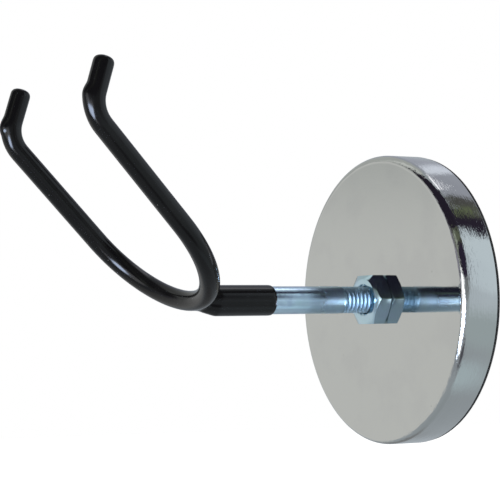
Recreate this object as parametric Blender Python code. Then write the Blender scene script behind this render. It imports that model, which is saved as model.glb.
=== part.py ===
"""Magnetic tool holder: a chromed round magnet with a threaded stem, a lock nut and a coated two-prong hook.

Metres, +Z up. The origin is the middle of the magnetic face. +Y points into the steel that the magnet
holds on to, and the stem and the hook reach out along -Y.
"""
import math

import bmesh
import bpy
from mathutils import Matrix, Vector

# Clearances
SEAT_GAP = 0.0003
NUT_SEAT_GAP = 0.0001
CREST_CLEARANCE = 0.0002
CORE_GAP = 0.0002
CUT_OVERRUN = 0.002

# Magnet cup and its face pad
CUP_DIAMETER = 0.1016
CUP_HEIGHT = 0.0139
CUP_WALL = 0.003
CUP_EDGE_RADIUS = 0.0024
CUP_CORNER_RADIUS = 0.001
CUP_RIM_CHAMFER = 0.0003
PAD_THICKNESS = 0.0008
PAD_INSET = 0.0002

# Ring magnet inside the cup, and the room round it that the potting resin fills
RING_TO_CUP = 0.0038
RING_TO_BOSS = 0.004
RING_CHAMFER = 0.0006
RING_RECESS = 0.0002

# Centre boss that the stem screws into
SPIGOT_WALL = 0.001525
BOSS_SHOULDER = 0.0066
BOSS_END_WALL = 0.0036
BORE_COUNTERSINK = 0.0004
BORE_END_CLEARANCE = 0.0006

# Stem, its thread and its welded nose; distances run outwards from the cup's front face
STEM_DIAMETER = 0.009525
SHANK_START = 0.0161
SHANK_CHAMFER = 0.0006
THREAD_UNDERSIZE = 0.000175
THREAD_PITCH = 0.0015875
THREAD_DEPTH = 0.0009
TIP_CHAMFER = 0.0012
NOSE_LENGTH = 0.0076
NOSE_INSET = 0.00025
WELD_ROOT = 0.00105
WELD_REACH = 0.0009

# Lock nut
NUT_ACROSS_FLATS = 0.017
NUT_HEIGHT = 0.006
NUT_FACE_INSET = 0.0012
NUT_CHAMFER_ANGLE = math.radians(25)
NUT_COUNTERSINK = 0.0007
NUT_TURN = math.radians(-1.5)

# Hook bar
HOOK_DISTANCE = 0.073
HOOK_BAR_DIAMETER = 0.0058
HOOK_BAR_CHAMFER = 0.0005
HOOK_RISE = math.radians(47.7)
HOOK_BOTTOM_RADIUS = 0.0317
PRONG_SPLAY = math.radians(2.4)
PRONG_LENGTH = 0.0398
TIP_BEND_RADIUS = 0.0108
TIP_BEND_ANGLE = math.radians(60)
TIP_LENGTH = 0.0113

# Dip coat over the hook and the outer half of the stem
COAT_WALL = 0.0003
COAT_END_WALL = 0.001
COAT_TIP_ROUNDING = 0.0007
COAT_STEM_LENGTH = 0.0294
COAT_LIP = 0.00025
NUB_HALF_LENGTH = 0.0032
NUB_HALF_WIDTH = 0.0023
NUB_HALF_DEPTH = 0.0019
NUB_PROUD = 0.0008
RIGHT_NUB_RISE = 0.0021
LEFT_NUB_RISE = 0.0008

# Shares of one thread pitch where the crest ends, the root starts and the root ends
THREAD_PROFILE_SHARES = (0.0, 0.125, 0.4375, 0.6875)
THREAD_HEIGHT_SHARES = (1.0, 1.0, 0.0, 0.0)

# Facets
CUP_SIDES = 80
RING_SIDES = 48
BOSS_SIDES = 48
STEM_SIDES = 24
NUT_SIDES = 6
NUT_ROUND_SIDES = 48
BAR_SIDES = 16
COAT_SIDES = 20
SLEEVE_SIDES = 32
EDGE_STEPS = 5
CORNER_STEPS = 3
ROUNDING_STEPS = 4
BOTTOM_STEPS = 11
TIP_STEPS = 6
NUB_SIDES = 14
NUB_RINGS = 8
SMOOTH_ANGLE = math.radians(38)
MERGE_DISTANCE = 1e-7

# Places that follow from the sizes
CUP_RIM_Y = -(PAD_THICKNESS + SEAT_GAP)
CUP_FACE_Y = CUP_RIM_Y - CUP_HEIGHT
CUP_FLOOR_Y = CUP_FACE_Y + CUP_WALL
CUP_RADIUS = CUP_DIAMETER / 2
CUP_INNER_RADIUS = CUP_RADIUS - CUP_WALL
FILL_FRONT_Y = CUP_FLOOR_Y + SEAT_GAP
FILL_BACK_Y = CUP_RIM_Y - RING_RECESS
STEM_RADIUS = STEM_DIAMETER / 2
THREAD_RADIUS = STEM_RADIUS - THREAD_UNDERSIZE / 2
BORE_RADIUS = THREAD_RADIUS + CREST_CLEARANCE
BORE_END_Y = FILL_BACK_Y - BOSS_END_WALL
THREAD_ENGAGEMENT = BORE_END_Y - BORE_END_CLEARANCE - CUP_FACE_Y
SPIGOT_RADIUS = BORE_RADIUS + SPIGOT_WALL
CUP_HOLE_RADIUS = SPIGOT_RADIUS + SEAT_GAP
BOSS_RADIUS = SPIGOT_RADIUS + BOSS_SHOULDER
RING_INNER_RADIUS = BOSS_RADIUS + RING_TO_BOSS
RING_OUTER_RADIUS = CUP_INNER_RADIUS - RING_TO_CUP
BAR_RADIUS = HOOK_BAR_DIAMETER / 2
COAT_THICKNESS = COAT_WALL + CORE_GAP
COAT_START = HOOK_DISTANCE - COAT_STEM_LENGTH
HOOK_RADIUS = BAR_RADIUS + COAT_THICKNESS
NOSE_START = HOOK_DISTANCE - NOSE_LENGTH
NOSE_RADIUS = BAR_RADIUS - NOSE_INSET
STEM_END = HOOK_DISTANCE - BAR_RADIUS - WELD_ROOT
WELD_END = HOOK_DISTANCE - BAR_RADIUS + WELD_REACH
ARM_ORIGIN = Vector((0, CUP_FACE_Y, 0))

# Directions
RIGHT = Vector((1, 0, 0))
UP = Vector((0, 0, 1))


def clear_scene():
    for item in list(bpy.data.objects):
        bpy.data.objects.remove(item, do_unlink=True)


def finish(name, bm, material=None, place=(0, 0, 0), parent=None):
    """Turn a bmesh into a named object with outward faces, smooth where it is round."""
    bmesh.ops.remove_doubles(bm, verts=bm.verts, dist=MERGE_DISTANCE)
    bmesh.ops.recalc_face_normals(bm, faces=bm.faces)
    mesh = bpy.data.meshes.new(name)
    bm.to_mesh(mesh)
    bm.free()
    mesh.shade_smooth()
    mesh.set_sharp_from_angle(angle=SMOOTH_ANGLE)
    item = bpy.data.objects.new(name, mesh)
    bpy.context.scene.collection.objects.link(item)
    item.location = place
    if parent:
        item.parent = parent
        item.matrix_parent_inverse = Matrix.Translation(-parent.location)
    if material:
        mesh.materials.append(material)
    return item


def surface(name, colour, roughness, metallic):
    """One plain finish for a sub-part."""
    material = bpy.data.materials.new(name)
    material.use_nodes = True
    shader = material.node_tree.nodes["Principled BSDF"]
    shader.inputs["Base Color"].default_value = (*colour, 1.0)
    shader.inputs["Roughness"].default_value = roughness
    shader.inputs["Metallic"].default_value = metallic
    return material


def arc_profile(centre_radius, centre_y, radius, start, end, steps):
    """Points of a profile arc, both ends included; angles run from +radius towards +Y."""
    points = []
    for step in range(steps + 1):
        angle = start + (end - start) * step / steps
        points.append((centre_radius + radius * math.cos(angle), centre_y + radius * math.sin(angle)))
    return points


def turned(profile, sides, closed=True):
    """Turn a profile of (radius, y) points round the Y axis; an open one starts and ends on the axis."""
    bm = bmesh.new()
    corners = [bm.verts.new((radius, y, 0)) for radius, y in profile]
    edges = [bm.edges.new(pair) for pair in zip(corners, corners[1:])]
    if closed:
        edges.append(bm.edges.new((corners[-1], corners[0])))
    bmesh.ops.spin(bm, geom=corners + edges, cent=(0, 0, 0), axis=(0, 1, 0),
                   angle=math.tau, steps=sides, use_merge=True)
    bmesh.ops.remove_doubles(bm, verts=bm.verts, dist=MERGE_DISTANCE)
    return bm


def combine(target, operation, name, bm):
    """Join a helper shape to a part, cut it out or keep what they share; it stands where the part stands."""
    helper = finish(name, bm, None, target.location, target.parent)
    helper.hide_render = True
    helper.display_type = "WIRE"
    modifier = target.modifiers.new(name, "BOOLEAN")
    modifier.operation = operation
    modifier.solver = "EXACT"
    modifier.object = helper


# Magnet

def make_magnet_cup(material):
    edge = arc_profile(CUP_RADIUS - CUP_EDGE_RADIUS, CUP_FACE_Y + CUP_EDGE_RADIUS, CUP_EDGE_RADIUS,
                       -math.pi / 2, 0, EDGE_STEPS)
    corner = arc_profile(CUP_INNER_RADIUS - CUP_CORNER_RADIUS, CUP_FLOOR_Y + CUP_CORNER_RADIUS,
                         CUP_CORNER_RADIUS, 0, -math.pi / 2, CORNER_STEPS)
    profile = [(CUP_HOLE_RADIUS, CUP_FACE_Y)] + edge
    profile += [(CUP_RADIUS, CUP_RIM_Y - CUP_RIM_CHAMFER), (CUP_RADIUS - CUP_RIM_CHAMFER, CUP_RIM_Y)]
    profile += [(CUP_INNER_RADIUS, CUP_RIM_Y)] + corner
    profile += [(CUP_HOLE_RADIUS, CUP_FLOOR_Y)]
    return finish("magnet_cup", turned(profile, CUP_SIDES), material)


def make_face_pad(material):
    radius = CUP_RADIUS - PAD_INSET
    profile = [(0, -PAD_THICKNESS), (radius, -PAD_THICKNESS), (radius, 0), (0, 0)]
    return finish("face_pad", turned(profile, CUP_SIDES, closed=False), material)


def filling(inner_radius, outer_radius, front_inner_cut, front_outer_cut, back_cut):
    """A ring that fills part of the cup, with its corners cut at 45 degrees."""
    return turned([
        (inner_radius, FILL_FRONT_Y + front_inner_cut),
        (inner_radius + front_inner_cut, FILL_FRONT_Y),
        (outer_radius - front_outer_cut, FILL_FRONT_Y),
        (outer_radius, FILL_FRONT_Y + front_outer_cut),
        (outer_radius, FILL_BACK_Y - back_cut),
        (outer_radius - back_cut, FILL_BACK_Y),
        (inner_radius + back_cut, FILL_BACK_Y),
        (inner_radius, FILL_BACK_Y - back_cut),
    ], RING_SIDES)


def make_ferrite_ring(material):
    ring = filling(RING_INNER_RADIUS, RING_OUTER_RADIUS, RING_CHAMFER, RING_CHAMFER, RING_CHAMFER)
    return finish("ferrite_ring", ring, material)


def make_outer_resin(material):
    ring = filling(RING_OUTER_RADIUS + SEAT_GAP, CUP_INNER_RADIUS - SEAT_GAP,
                   SEAT_GAP, CUP_CORNER_RADIUS, SEAT_GAP)
    return finish("outer_resin", ring, material)


def make_inner_resin(material):
    ring = filling(BOSS_RADIUS + SEAT_GAP, RING_INNER_RADIUS - SEAT_GAP, SEAT_GAP, SEAT_GAP, SEAT_GAP)
    return finish("inner_resin", ring, material)


def make_centre_boss(material):
    """The pole piece: a collar inside the cup, a spigot through its hole and a blind bore for the stem."""
    spigot_face = CUP_FACE_Y + SEAT_GAP
    profile = [
        (0, BORE_END_Y),
        (BORE_RADIUS, BORE_END_Y),
        (BORE_RADIUS, spigot_face + BORE_COUNTERSINK),
        (BORE_RADIUS + BORE_COUNTERSINK, spigot_face),
        (SPIGOT_RADIUS, spigot_face),
        (SPIGOT_RADIUS, FILL_FRONT_Y),
        (BOSS_RADIUS, FILL_FRONT_Y),
        (BOSS_RADIUS, FILL_BACK_Y),
        (0, FILL_BACK_Y),
    ]
    return finish("centre_boss", turned(profile, BOSS_SIDES, closed=False), material)


# Stem

def core_radius(distance):
    """Radius of the bare stem and weld: full on the shank, then a straight taper to the hook bar's middle."""
    taper = max(0.0, distance - NOSE_START) / (HOOK_DISTANCE - NOSE_START)
    return STEM_RADIUS + (NOSE_RADIUS - STEM_RADIUS) * taper


def thread_radius(y, height_share):
    """Radius of the thread at y: it fades in over a pitch at the shank and is chamfered at the tip."""
    depth = THREAD_DEPTH * min(1.0, (y + SHANK_START) / THREAD_PITCH)
    chamfered = THREAD_RADIUS - TIP_CHAMFER + (THREAD_ENGAGEMENT - y)
    return min(THREAD_RADIUS - depth * (1.0 - height_share), chamfered)


def stem_ring(bm, radius, y):
    ring = []
    for side in range(STEM_SIDES):
        angle = math.tau * side / STEM_SIDES
        ring.append(bm.verts.new((radius * math.sin(angle), y, radius * math.cos(angle))))
    return ring


def bridge(bm, ring, following):
    for side in range(len(ring)):
        turn = (side + 1) % len(ring)
        bm.faces.new((ring[side], ring[turn], following[turn], following[side]))


def add_thread(bm, first_ring, last_ring):
    """Lay a right-hand thread between two rings; levels past either ring fold on to it."""
    points = len(THREAD_PROFILE_SHARES)
    levels = math.ceil((SHANK_START + THREAD_ENGAGEMENT) / THREAD_PITCH + 1) * points
    made = {}

    def vertex(side, level):
        if side == STEM_SIDES:
            return vertex(0, level + points)
        share = THREAD_PROFILE_SHARES[level % points]
        turns = level // points - 1 + share + side / STEM_SIDES
        y = -SHANK_START + THREAD_PITCH * turns
        if y <= -SHANK_START:
            return first_ring[side]
        if y >= THREAD_ENGAGEMENT:
            return last_ring[side]
        if (side, level) not in made:
            radius = thread_radius(y, THREAD_HEIGHT_SHARES[level % points])
            angle = math.tau * side / STEM_SIDES
            made[side, level] = bm.verts.new((radius * math.sin(angle), y, radius * math.cos(angle)))
        return made[side, level]

    for side in range(STEM_SIDES):
        for level in range(levels):
            corners = [vertex(side, level), vertex(side + 1, level),
                       vertex(side + 1, level + 1), vertex(side, level + 1)]
            corners = list(dict.fromkeys(corners))
            if len(corners) > 2:
                bm.faces.new(corners)


def make_stem(material, arm):
    bm = bmesh.new()
    nose_end = stem_ring(bm, core_radius(STEM_END), -STEM_END)
    nose_start = stem_ring(bm, STEM_RADIUS, -NOSE_START)
    shank_end = stem_ring(bm, STEM_RADIUS, -SHANK_START - SHANK_CHAMFER)
    first_ring = stem_ring(bm, THREAD_RADIUS, -SHANK_START)
    last_ring = stem_ring(bm, THREAD_RADIUS - TIP_CHAMFER, THREAD_ENGAGEMENT)
    bridge(bm, nose_end, nose_start)
    bridge(bm, nose_start, shank_end)
    bridge(bm, shank_end, first_ring)
    add_thread(bm, first_ring, last_ring)
    bm.faces.new(nose_end)
    bm.faces.new(last_ring)
    bmesh.ops.triangulate(bm, faces=bm.faces)
    return finish("stem", bm, material, ARM_ORIGIN, arm)


# Lock nut

def make_lock_nut(material, arm):
    """A hexagon trimmed by a cone at each face, with a countersunk bore; its own origin is its middle."""
    half = NUT_HEIGHT / 2
    corner_radius = NUT_ACROSS_FLATS / 2 / math.cos(math.pi / NUT_SIDES)
    face_radius = NUT_ACROSS_FLATS / 2 - NUT_FACE_INSET
    chamfer = (corner_radius + CUT_OVERRUN - face_radius) * math.tan(NUT_CHAMFER_ANGLE)
    place = ARM_ORIGIN - Vector((0, NUT_SEAT_GAP + half, 0))

    bm = bmesh.new()
    bmesh.ops.create_cone(bm, cap_ends=True, segments=NUT_SIDES, radius1=corner_radius, radius2=corner_radius,
                          depth=NUT_HEIGHT)
    stand = Matrix.Rotation(math.pi / 2, 4, "X") @ Matrix.Rotation(math.pi / 2 + NUT_TURN, 4, "Z")
    bmesh.ops.transform(bm, matrix=stand, verts=bm.verts)
    nut = finish("lock_nut", bm, material, place, arm)

    trim = [(0, -half), (face_radius, -half), (corner_radius + CUT_OVERRUN, chamfer - half),
            (corner_radius + CUT_OVERRUN, half - chamfer), (face_radius, half), (0, half)]
    combine(nut, "INTERSECT", "nut_trimmer", turned(trim, NUT_ROUND_SIDES, closed=False))

    mouth = BORE_RADIUS + NUT_COUNTERSINK + CUT_OVERRUN
    bore = [(0, -half - CUT_OVERRUN), (mouth, -half - CUT_OVERRUN), (BORE_RADIUS, NUT_COUNTERSINK - half),
            (BORE_RADIUS, half - NUT_COUNTERSINK), (mouth, half + CUT_OVERRUN), (0, half + CUT_OVERRUN)]
    combine(nut, "DIFFERENCE", "nut_borer", turned(bore, NUT_ROUND_SIDES, closed=False))
    return nut


# Hook

def turn_towards(start, heading, towards, radius, angle, steps):
    """Stations (point, heading) along an arc that leaves start and turns towards a unit vector."""
    stations = []
    for step in range(1, steps + 1):
        turn = angle * step / steps
        point = start + radius * (math.sin(turn) * heading + (1 - math.cos(turn)) * towards)
        stations.append((point, math.cos(turn) * heading + math.sin(turn) * towards))
    return stations


def square_to(heading, towards):
    """The unit vector square to heading that leans most towards another."""
    return (towards - heading * towards.dot(heading)).normalized()


def prong_line(tip_length):
    """Stations of the +X half of the hook's centreline, from the middle of its bottom to its tip."""
    bottom = Vector((0, -HOOK_DISTANCE, 0))
    rise = Vector((0, -math.cos(HOOK_RISE), math.sin(HOOK_RISE)))
    stations = [(bottom, RIGHT)]
    stations += turn_towards(bottom, RIGHT, rise, HOOK_BOTTOM_RADIUS, math.pi / 2 - PRONG_SPLAY, BOTTOM_STEPS)
    point, heading = stations[-1]
    bend_start = point + heading * PRONG_LENGTH
    stations.append((bend_start, heading))
    upwards = square_to(heading, UP)
    stations += turn_towards(bend_start, heading, upwards, TIP_BEND_RADIUS, TIP_BEND_ANGLE, TIP_STEPS)
    point, heading = stations[-1]
    stations.append((point + heading * tip_length, heading))
    return stations


def hook_line(tip_length):
    """Stations of the whole centreline, from the -X tip to the +X tip."""
    right = prong_line(tip_length)
    left = []
    for point, heading in reversed(right[1:]):
        left.append((Vector((-point.x, point.y, point.z)), Vector((heading.x, -heading.y, -heading.z))))
    return left + right


def rounded_ends(stations, radius, rounding, steps):
    """Add a radius to each station, and rings that draw the tube in by the rounding at both ends."""
    def end_rings(point, outwards):
        rings = []
        for step in range(steps + 1):
            angle = math.pi / 2 * step / steps
            inset = rounding * (1 - math.sin(angle))
            ring_radius = radius - rounding * (1 - math.cos(angle))
            rings.append((point - outwards * inset, ring_radius))
        return rings

    first_point, first_heading = stations[0]
    last_point, last_heading = stations[-1]
    rings = [(point, first_heading, size) for point, size in reversed(end_rings(first_point, -first_heading))]
    rings += [(point, heading, radius) for point, heading in stations[1:-1]]
    rings += [(point, last_heading, size) for point, size in end_rings(last_point, last_heading)]
    return rings


def tube(rings, sides):
    """A closed tube through rings of (point, heading, radius), without twist between them."""
    bm = bmesh.new()
    heading = rings[0][1]
    across = square_to(heading, UP)
    made = []
    for point, following, radius in rings:
        across = heading.rotation_difference(following) @ across
        across = square_to(following, across)
        heading = following
        beside = heading.cross(across)
        ring = []
        for side in range(sides):
            angle = math.tau * side / sides
            ring.append(bm.verts.new(point + radius * (math.cos(angle) * across + math.sin(angle) * beside)))
        made.append(ring)
    for ring, following in zip(made, made[1:]):
        bridge(bm, ring, following)
    bm.faces.new(made[0])
    bm.faces.new(made[-1])
    return bm


def hook_tube(tip_length, radius, rounding, steps, sides):
    return tube(rounded_ends(hook_line(tip_length), radius, rounding, steps), sides)


def make_hook_bar(material, arm):
    length = TIP_LENGTH - COAT_END_WALL - CORE_GAP
    bm = hook_tube(length, BAR_RADIUS, HOOK_BAR_CHAMFER, 1, BAR_SIDES)
    return finish("hook_bar", bm, material, ARM_ORIGIN, arm)


def bar_room():
    """The bar's own shape, grown outwards by the gap that its neighbours keep."""
    return hook_tube(TIP_LENGTH - COAT_END_WALL, BAR_RADIUS + CORE_GAP, HOOK_BAR_CHAMFER, 1, BAR_SIDES)


def nose(start, end, extra):
    """A turned solid of the stem's outline between two distances, grown outwards by extra."""
    profile = [(0, -start), (core_radius(start) + extra, -start)]
    if start < NOSE_START < end:
        profile.append((STEM_RADIUS + extra, -NOSE_START))
    profile += [(core_radius(end) + extra, -end), (0, -end)]
    return turned(profile, SLEEVE_SIDES, closed=False)


def make_weld_bead(material, arm):
    """The weld metal between the stem's end and the bar, hollowed where the bar lies in it."""
    bead = finish("weld_bead", nose(STEM_END + CORE_GAP, WELD_END, 0), material, ARM_ORIGIN, arm)
    combine(bead, "DIFFERENCE", "weld_bed", bar_room())
    return bead


def drip_nub(rise):
    """The drop that dried on the +X tip bend, as a stretched ball a rise above the bend's outermost point."""
    stations = prong_line(TIP_LENGTH)
    bend_start, heading = stations[BOTTOM_STEPS + 1]
    towards = square_to(heading, UP)
    turn = math.pi / 2 - math.asin(heading.z) + rise / TIP_BEND_RADIUS
    point, along = turn_towards(bend_start, heading, towards, TIP_BEND_RADIUS, turn, 1)[0]
    outwards = -square_to(along, towards)
    middle = point + outwards * (HOOK_RADIUS + NUB_PROUD - NUB_HALF_DEPTH)
    beside = along.cross(outwards)
    bm = bmesh.new()
    bmesh.ops.create_uvsphere(bm, u_segments=NUB_SIDES, v_segments=NUB_RINGS, radius=1)
    axes = Matrix((beside * NUB_HALF_WIDTH, outwards * NUB_HALF_DEPTH, along * NUB_HALF_LENGTH)).transposed()
    bmesh.ops.transform(bm, matrix=Matrix.Translation(middle) @ axes.to_4x4(), verts=bm.verts)
    return bm


def coat_sleeve():
    """The coat's outside over the stem, with a rounded lip, running into the hook's bottom."""
    radius = STEM_RADIUS + COAT_THICKNESS
    lip = arc_profile(radius - COAT_LIP, -COAT_START - COAT_LIP, COAT_LIP, math.pi / 2, 0, CORNER_STEPS)
    profile = [(0, -COAT_START)] + lip
    profile += [(radius, -NOSE_START), (NOSE_RADIUS + COAT_THICKNESS, -HOOK_DISTANCE), (0, -HOOK_DISTANCE)]
    return turned(profile, SLEEVE_SIDES, closed=False)


def make_hook_coating(material, arm):
    outside = hook_tube(TIP_LENGTH, HOOK_RADIUS, COAT_TIP_ROUNDING, ROUNDING_STEPS, COAT_SIDES)
    coating = finish("hook_coating", outside, material, ARM_ORIGIN, arm)
    combine(coating, "UNION", "coat_sleeve", coat_sleeve())
    combine(coating, "UNION", "right_nub", drip_nub(RIGHT_NUB_RISE))
    left_nub = drip_nub(LEFT_NUB_RISE)
    bmesh.ops.scale(left_nub, vec=(-1, 1, 1), verts=left_nub.verts)
    combine(coating, "UNION", "left_nub", left_nub)
    combine(coating, "DIFFERENCE", "stem_room", nose(COAT_START - CUT_OVERRUN, WELD_END + CORE_GAP, CORE_GAP))
    combine(coating, "DIFFERENCE", "bar_room", bar_room())
    return coating


def main():
    clear_scene()
    chrome = surface("bright_chrome", (0.78, 0.79, 0.78), 0.06, 1.0)
    rubber = surface("black_rubber", (0.02, 0.02, 0.02), 0.7, 0.0)
    ferrite = surface("ferrite", (0.05, 0.05, 0.055), 0.6, 0.2)
    resin = surface("potting_resin", (0.08, 0.07, 0.06), 0.5, 0.0)
    zinc = surface("bright_zinc", (0.62, 0.70, 0.76), 0.25, 1.0)
    steel = surface("plain_steel", (0.45, 0.45, 0.46), 0.35, 1.0)
    vinyl = surface("black_vinyl", (0.012, 0.012, 0.013), 0.18, 0.0)

    make_magnet_cup(chrome)
    make_face_pad(rubber)
    make_ferrite_ring(ferrite)
    make_outer_resin(resin)
    make_inner_resin(resin)
    make_centre_boss(steel)

    arm = bpy.data.objects.new("arm_axis", None)
    bpy.context.scene.collection.objects.link(arm)
    arm.location = ARM_ORIGIN
    make_stem(zinc, arm)
    make_lock_nut(zinc, arm)
    make_hook_bar(steel, arm)
    make_weld_bead(steel, arm)
    make_hook_coating(vinyl, arm)


main()
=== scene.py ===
# Looks of a magnetic tool holder: a chromed round magnet, a zinc-plated stem and nut, a black dipped hook.
import math

import bmesh
import bpy
from mathutils import Matrix, Vector


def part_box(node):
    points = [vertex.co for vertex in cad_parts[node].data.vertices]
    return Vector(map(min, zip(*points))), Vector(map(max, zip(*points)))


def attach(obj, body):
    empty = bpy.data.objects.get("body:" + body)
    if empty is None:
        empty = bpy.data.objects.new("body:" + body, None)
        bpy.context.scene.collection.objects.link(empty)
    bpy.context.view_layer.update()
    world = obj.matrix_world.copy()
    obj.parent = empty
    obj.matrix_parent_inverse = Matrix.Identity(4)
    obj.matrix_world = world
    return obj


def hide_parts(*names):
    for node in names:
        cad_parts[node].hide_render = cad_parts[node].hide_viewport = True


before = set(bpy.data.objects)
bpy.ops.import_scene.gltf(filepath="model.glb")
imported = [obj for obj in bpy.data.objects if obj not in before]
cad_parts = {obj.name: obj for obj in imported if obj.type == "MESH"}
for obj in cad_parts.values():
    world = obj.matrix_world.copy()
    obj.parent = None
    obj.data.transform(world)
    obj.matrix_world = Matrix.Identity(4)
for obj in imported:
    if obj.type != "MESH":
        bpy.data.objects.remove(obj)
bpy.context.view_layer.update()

# Places that the fixed model gives
CUP_LOW, CUP_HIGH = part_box("magnet_cup")
PAD_LOW, PAD_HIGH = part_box("face_pad")
NUT_LOW, NUT_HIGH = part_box("lock_nut")
STEM_LOW, STEM_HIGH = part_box("stem")
CUP_RADIUS = CUP_HIGH.x
CUP_FACE_Y = CUP_LOW.y
CUP_RIM_Y = CUP_HIGH.y
CUP_HEIGHT = CUP_RIM_Y - CUP_FACE_Y
PAD_RADIUS = PAD_HIGH.x
PAD_THICKNESS = PAD_HIGH.y - PAD_LOW.y
NUT_HEIGHT = NUT_HIGH.y - NUT_LOW.y
STEM_RADIUS = STEM_HIGH.x

# Cup
CUP_WALL = 0.003
CUP_EDGE_RADIUS = 0.0024
CUP_RIM_ROUNDING = 0.0003
CUP_CORNER_RADIUS = 0.001
CUP_HOLE_RADIUS = 0.0067
PAD_ROUNDING = 0.00025

# Stem, whose starts are distances outwards from the cup's face
SHANK_START = 0.0161
SHANK_CHAMFER = 0.0006
THREAD_RADIUS = 0.004675
THREAD_PITCH = 0.0015875
THREAD_DEPTH = 0.0009
THREAD_ENGAGEMENT = 0.0095
TIP_CHAMFER = 0.0012
NOSE_START = 0.0654
NOSE_RADIUS = 0.00265

# Nut
NUT_ACROSS_FLATS = 0.017
NUT_FACE_RADIUS = 0.0073
NUT_BACK_RADIUS = 0.0084
NUT_CHAMFER_ANGLE = math.radians(25)
NUT_TURN = math.radians(-1.5)
NUT_BORE_RADIUS = 0.004875
NUT_COUNTERSINK = 0.0007
NUT_EDGE_ROUNDING = 0.00012

# Hook and its coat
RIGHT = Vector((1, 0, 0))
UP = Vector((0, 0, 1))
HOOK_DISTANCE = 0.073
HOOK_BOTTOM = Vector((0, CUP_FACE_Y - HOOK_DISTANCE, 0))
HOOK_RADIUS = 0.0034
HOOK_RISE = math.radians(47.7)
RISING = Vector((0, -math.cos(HOOK_RISE), math.sin(HOOK_RISE)))
HOOK_BOTTOM_RADIUS = 0.0317
PRONG_SPLAY = math.radians(2.4)
PRONG_LENGTH = 0.0398
TIP_BEND_RADIUS = 0.0108
TIP_BEND_ANGLE = math.radians(60)
TIP_LENGTH = 0.0113
COAT_THICKNESS = 0.0005
COAT_TIP_ROUNDING = 0.0018
COAT_START = 0.0436
COAT_LIP_HEIGHT = 0.0005
COAT_LIP_LENGTH = 0.001
WELD_CREASE_REACH = 0.0016
WELD_CREASE_TOP = 0.0006
NUB_HALF_LENGTH = 0.0032
NUB_HALF_WIDTH = 0.0023
NUB_HALF_DEPTH = 0.0019
NUB_PROUD = 0.0008
NUB_RUN_STEP = 0.0008
NUB_RUN_ABOVE_SHARES = (0.72, 0.42, 0.18, 0.06)
NUB_RUN_BELOW_SHARES = (0.84, 0.69, 0.56, 0.45, 0.36, 0.28, 0.21, 0.15, 0.10, 0.05)
LEFT_RUN_SHARE = 0.5
RIGHT_NUB_RISE = 0.0021
LEFT_NUB_RISE = 0.0008
COAT_VOXEL = 0.00034

# Shares of a pitch along the thread, and shares of its depth there
THREAD_SHARES = ((0.0, 0.96), (0.03, 1.0), (0.095, 1.0), (0.125, 0.96), (0.16, 0.88), (0.40, 0.12),
                 (0.44, 0.03), (0.49, 0.0), (0.635, 0.0), (0.685, 0.03), (0.725, 0.12), (0.965, 0.88))

# Facets
CUP_SIDES = 240
EDGE_STEPS = 14
THREAD_SIDES = 72
NUT_SIDES = 6
NUT_ROUND_SIDES = 144
HOOK_SIDES = 48
SLEEVE_SIDES = 64
BOTTOM_STEPS = 48
TIP_STEPS = 24
ROUNDING_STEPS = 3
FINE_ROUNDING_STEPS = 2
CORNER_STEPS = 4
TIP_ROUNDING_STEPS = 8
LIP_STEPS = 8
NUB_SIDES = 32
NUB_RINGS = 20
FLOOR_SIDES = 96

# Steps, angles and tolerances
SPARE_TURNS = 3
SPARE_TURNS_BELOW = 2
COAT_SMOOTHINGS = 14
CREASE_SMOOTHINGS = 80
SMOOTHING_SHARE = 0.5
SMOOTH_ANGLE = math.radians(30)
NUT_EDGE_ANGLE = math.radians(18)
NUT_SMOOTH_ANGLE = math.radians(20)
COAT_SMOOTH_ANGLE = math.radians(60)
MERGE_DISTANCE = 2e-6
CUT_OVERRUN = 0.002
TINY = 1e-5

# Colours of the surfaces
CHROME = (0.590, 0.600, 0.582, 1)
CHROME_SMUDGE = (0.570, 0.578, 0.565, 1)
CHROME_SPECK = (0.16, 0.16, 0.15, 1)
ZINC_SPECK = (0.20, 0.24, 0.27, 1)
# Painted shade: a darker plate colour for the thread, which dims the highlights on its crests
ZINC_PAINTED_THREAD_SHADE = (0.31, 0.45, 0.55, 1)
VINYL = (0.0058, 0.0058, 0.0062, 1)
VINYL_CLOUD = (0.0078, 0.0078, 0.0082, 1)
VINYL_DUST = (0.30, 0.30, 0.30, 1)
RUBBER = (0.018, 0.018, 0.018, 1)
RUBBER_CLOUD = (0.026, 0.026, 0.025, 1)
RUBBER_DUST = (0.12, 0.115, 0.105, 1)
STEEL = (0.46, 0.46, 0.47, 1)
STEEL_STAIN = (0.34, 0.32, 0.30, 1)
FERRITE = (0.045, 0.045, 0.050, 1)
FERRITE_CLOUD = (0.065, 0.064, 0.066, 1)
FERRITE_CHIP = (0.025, 0.025, 0.028, 1)
RESIN = (0.078, 0.068, 0.058, 1)
RESIN_CLOUD = (0.100, 0.090, 0.078, 1)
RESIN_BUBBLE = (0.040, 0.034, 0.030, 1)

# Blotches: the level of noise at which they start, how far coverage lowers it, and how softly they start
BLOTCH_THRESHOLD = 0.62
BLOTCH_GROWTH = 0.3
BLOTCH_SOFTNESS = 0.2

# Depths of the marks in the surfaces
CHROME_STREAK_DEPTH = 0.00014
CHROME_WAVE_DEPTH = 0.00006
ZINC_PEEL_DEPTH = 0.000018
ZINC_LINE_DEPTH = 0.000006
VINYL_SKIN_DEPTH = 0.000008
RUBBER_GRAIN_DEPTH = 0.00006
STEEL_LINE_DEPTH = 0.00003
FERRITE_GRAIN_DEPTH = 0.00008
RESIN_WAVE_DEPTH = 0.00006

# Wear that dulls the zinc: 1 on the shank beside the thread, and full where it is dullest
THREAD_WEAR = 2.0
FULL_WEAR = 2.4

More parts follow.
